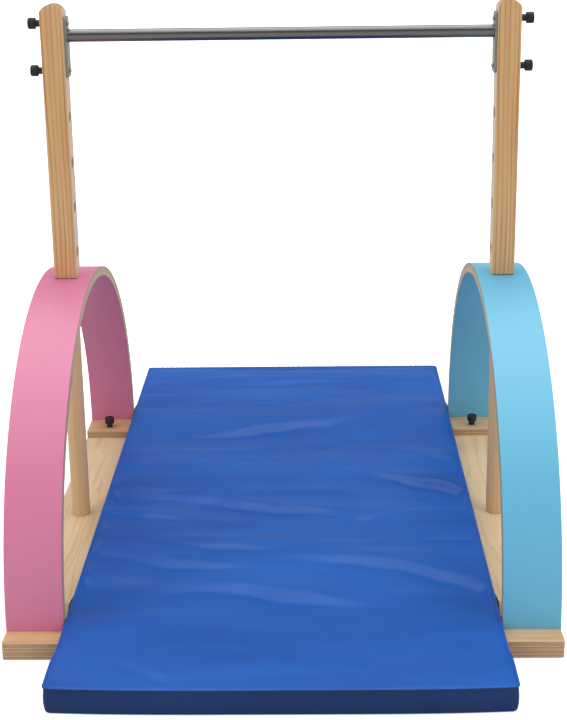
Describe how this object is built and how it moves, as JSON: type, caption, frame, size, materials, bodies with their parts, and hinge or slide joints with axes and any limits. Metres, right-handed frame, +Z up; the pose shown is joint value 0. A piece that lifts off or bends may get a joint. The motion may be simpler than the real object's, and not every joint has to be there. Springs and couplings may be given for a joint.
{
  "type": "kip bar",
  "caption": "Low horizontal bar for young gymnasts: a steel bar, adjustable in height, on posts set in two bent-plywood arch frames, with a landing mat between them.",
  "frame": {"origin": "on the floor, under the middle of the mat's length, midway between the two frames", "axes": "+X to the right seen from the front, +Y to the rear along the mat, +Z up"},
  "size_m": [1.278, 2, 1.4159],
  "materials": {
    "plywood": "satin",
    "post_wood": "satin",
    "pink_laminate": "satin",
    "sky_laminate": "satin",
    "bar_steel": "satin",
    "plate_steel": "satin",
    "zinc": "satin",
    "brass": "satin",
    "black_plastic": "satin",
    "rubber": "matte",
    "mat_cover": "satin",
    "foam": "matte",
    "webbing": "matte"
  },
  "bodies": {
    "frame": {"left_base_board": "plywood", "left_arch_core": "plywood", "left_arch_outer_laminate": "pink_laminate", "left_arch_inner_laminate": "pink_laminate", "left_post": "post_wood", "left_post_bolt": "zinc", "left_front_cleat": "plywood", "left_front_pad": "rubber", "left_front_foot_screw": "zinc", "left_front_cleat_insert": "brass", "left_rear_cleat": "plywood", "left_rear_pad": "rubber", "left_rear_foot_screw": "zinc", "left_rear_cleat_insert": "brass", "right_base_board": "plywood", "right_arch_core": "plywood", "right_arch_outer_laminate": "sky_laminate", "right_arch_inner_laminate": "sky_laminate", "right_post": "post_wood", "right_post_bolt": "zinc", "right_front_cleat": "plywood", "right_front_pad": "rubber", "right_front_foot_screw": "zinc", "right_front_cleat_insert": "brass", "right_rear_cleat": "plywood", "right_rear_pad": "rubber", "right_rear_foot_screw": "zinc", "right_rear_cleat_insert": "brass"},
    "bar": {"bar_tube": "bar_steel", "left_bar_plate": "plate_steel", "left_upper_cap_nut": "zinc", "left_lower_cap_nut": "zinc", "right_bar_plate": "plate_steel", "right_upper_cap_nut": "zinc", "right_lower_cap_nut": "zinc"},
    "mat": {"mat_cover": "mat_cover", "mat_foam": "foam", "left_front_mat_handle": "webbing", "left_rear_mat_handle": "webbing", "right_front_mat_handle": "webbing", "right_rear_mat_handle": "webbing"},
    "left_front_cleat_knob_washer": {"left_front_cleat_knob_washer": "zinc"},
    "left_front_cleat_knob": {"left_front_cleat_knob": "black_plastic"},
    "left_rear_cleat_knob_washer": {"left_rear_cleat_knob_washer": "zinc"},
    "left_rear_cleat_knob": {"left_rear_cleat_knob": "black_plastic"},
    "left_upper_bar_knob_washer": {"left_upper_bar_knob_washer": "zinc"},
    "left_upper_bar_knob": {"left_upper_bar_knob": "black_plastic"},
    "left_lower_bar_knob_washer": {"left_lower_bar_knob_washer": "zinc"},
    "left_lower_bar_knob": {"left_lower_bar_knob": "black_plastic"},
    "right_front_cleat_knob_washer": {"right_front_cleat_knob_washer": "zinc"},
    "right_front_cleat_knob": {"right_front_cleat_knob": "black_plastic"},
    "right_rear_cleat_knob_washer": {"right_rear_cleat_knob_washer": "zinc"},
    "right_rear_cleat_knob": {"right_rear_cleat_knob": "black_plastic"},
    "right_upper_bar_knob_washer": {"right_upper_bar_knob_washer": "zinc"},
    "right_upper_bar_knob": {"right_upper_bar_knob": "black_plastic"},
    "right_lower_bar_knob_washer": {"right_lower_bar_knob_washer": "zinc"},
    "right_lower_bar_knob": {"right_lower_bar_knob": "black_plastic"}
  },
  "joints": [
    {"name": "bar_height", "type": "slide", "parent": "frame", "child": "bar", "axis": [0, 0, 1], "range_m": [-0.476, 0]},
    {"name": "mat_slide", "type": "slide", "parent": "frame", "child": "mat", "axis": [0, 1, 0], "range_m": [-1.8, 1.7]},
    {"name": "left_front_cleat_knob_travel", "type": "slide", "parent": "frame", "child": "left_front_cleat_knob_washer", "axis": [0, 0, 1], "range_m": [0, 0.0176]},
    {"name": "left_front_cleat_knob_turn", "type": "hinge", "parent": "left_front_cleat_knob_washer", "child": "left_front_cleat_knob", "pos_m": [-0.572, -0.641, 0.045], "axis": [0, 0, 1], "range_deg": [0, 5040]},
    {"name": "left_rear_cleat_knob_travel", "type": "slide", "parent": "frame", "child": "left_rear_cleat_knob_washer", "axis": [0, 0, 1], "range_m": [0, 0.0176]},
    {"name": "left_rear_cleat_knob_turn", "type": "hinge", "parent": "left_rear_cleat_knob_washer", "child": "left_rear_cleat_knob", "pos_m": [-0.572, 0.505, 0.045], "axis": [0, 0, 1], "range_deg": [0, 5040]},
    {"name": "left_upper_bar_knob_travel", "type": "slide", "parent": "frame", "child": "left_upper_bar_knob_washer", "axis": [-1, 0, 0], "range_m": [0, 0.0151]},
    {"name": "left_upper_bar_knob_turn", "type": "hinge", "parent": "left_upper_bar_knob_washer", "child": "left_upper_bar_knob", "pos_m": [-0.6037, -0.068, 1.3679], "axis": [-1, 0, 0], "range_deg": [0, 4320]},
    {"name": "left_lower_bar_knob_travel", "type": "slide", "parent": "frame", "child": "left_lower_bar_knob_washer", "axis": [-1, 0, 0], "range_m": [0, 0.0151]},
    {"name": "left_lower_bar_knob_turn", "type": "hinge", "parent": "left_lower_bar_knob_washer", "child": "left_lower_bar_knob", "pos_m": [-0.6037, -0.068, 1.2489], "axis": [-1, 0, 0], "range_deg": [0, 4320]},
    {"name": "right_front_cleat_knob_travel", "type": "slide", "parent": "frame", "child": "right_front_cleat_knob_washer", "axis": [0, 0, 1], "range_m": [0, 0.0176]},
    {"name": "right_front_cleat_knob_turn", "type": "hinge", "parent": "right_front_cleat_knob_washer", "child": "right_front_cleat_knob", "pos_m": [0.572, -0.641, 0.045], "axis": [0, 0, 1], "range_deg": [0, 5040]},
    {"name": "right_rear_cleat_knob_travel", "type": "slide", "parent": "frame", "child": "right_rear_cleat_knob_washer", "axis": [0, 0, 1], "range_m": [0, 0.0176]},
    {"name": "right_rear_cleat_knob_turn", "type": "hinge", "parent": "right_rear_cleat_knob_washer", "child": "right_rear_cleat_knob", "pos_m": [0.572, 0.505, 0.045], "axis": [0, 0, 1], "range_deg": [0, 5040]},
    {"name": "right_upper_bar_knob_travel", "type": "slide", "parent": "frame", "child": "right_upper_bar_knob_washer", "axis": [1, 0, 0], "range_m": [0, 0.0151]},
    {"name": "right_upper_bar_knob_turn", "type": "hinge", "parent": "right_upper_bar_knob_washer", "child": "right_upper_bar_knob", "pos_m": [0.6037, -0.068, 1.3679], "axis": [1, 0, 0], "range_deg": [0, 4320]},
    {"name": "right_lower_bar_knob_travel", "type": "slide", "parent": "frame", "child": "right_lower_bar_knob_washer", "axis": [1, 0, 0], "range_m": [0, 0.0151]},
    {"name": "right_lower_bar_knob_turn", "type": "hinge", "parent": "right_lower_bar_knob_washer", "child": "right_lower_bar_knob", "pos_m": [0.6037, -0.068, 1.2489], "axis": [1, 0, 0], "range_deg": [0, 4320]}
  ],
  "couplings": [
    {"joint": "left_front_cleat_knob_travel", "follows": "left_front_cleat_knob_turn", "m_per_rad": 0.00019894},
    {"joint": "left_rear_cleat_knob_travel", "follows": "left_rear_cleat_knob_turn", "m_per_rad": 0.00019894},
    {"joint": "left_upper_bar_knob_travel", "follows": "left_upper_bar_knob_turn", "m_per_rad": 0.00019894},
    {"joint": "left_lower_bar_knob_travel", "follows": "left_lower_bar_knob_turn", "m_per_rad": 0.00019894},
    {"joint": "right_front_cleat_knob_travel", "follows": "right_front_cleat_knob_turn", "m_per_rad": 0.00019894},
    {"joint": "right_rear_cleat_knob_travel", "follows": "right_rear_cleat_knob_turn", "m_per_rad": 0.00019894},
    {"joint": "right_upper_bar_knob_travel", "follows": "right_upper_bar_knob_turn", "m_per_rad": 0.00019894},
    {"joint": "right_lower_bar_knob_travel", "follows": "right_lower_bar_knob_turn", "m_per_rad": 0.00019894}
  ]
}
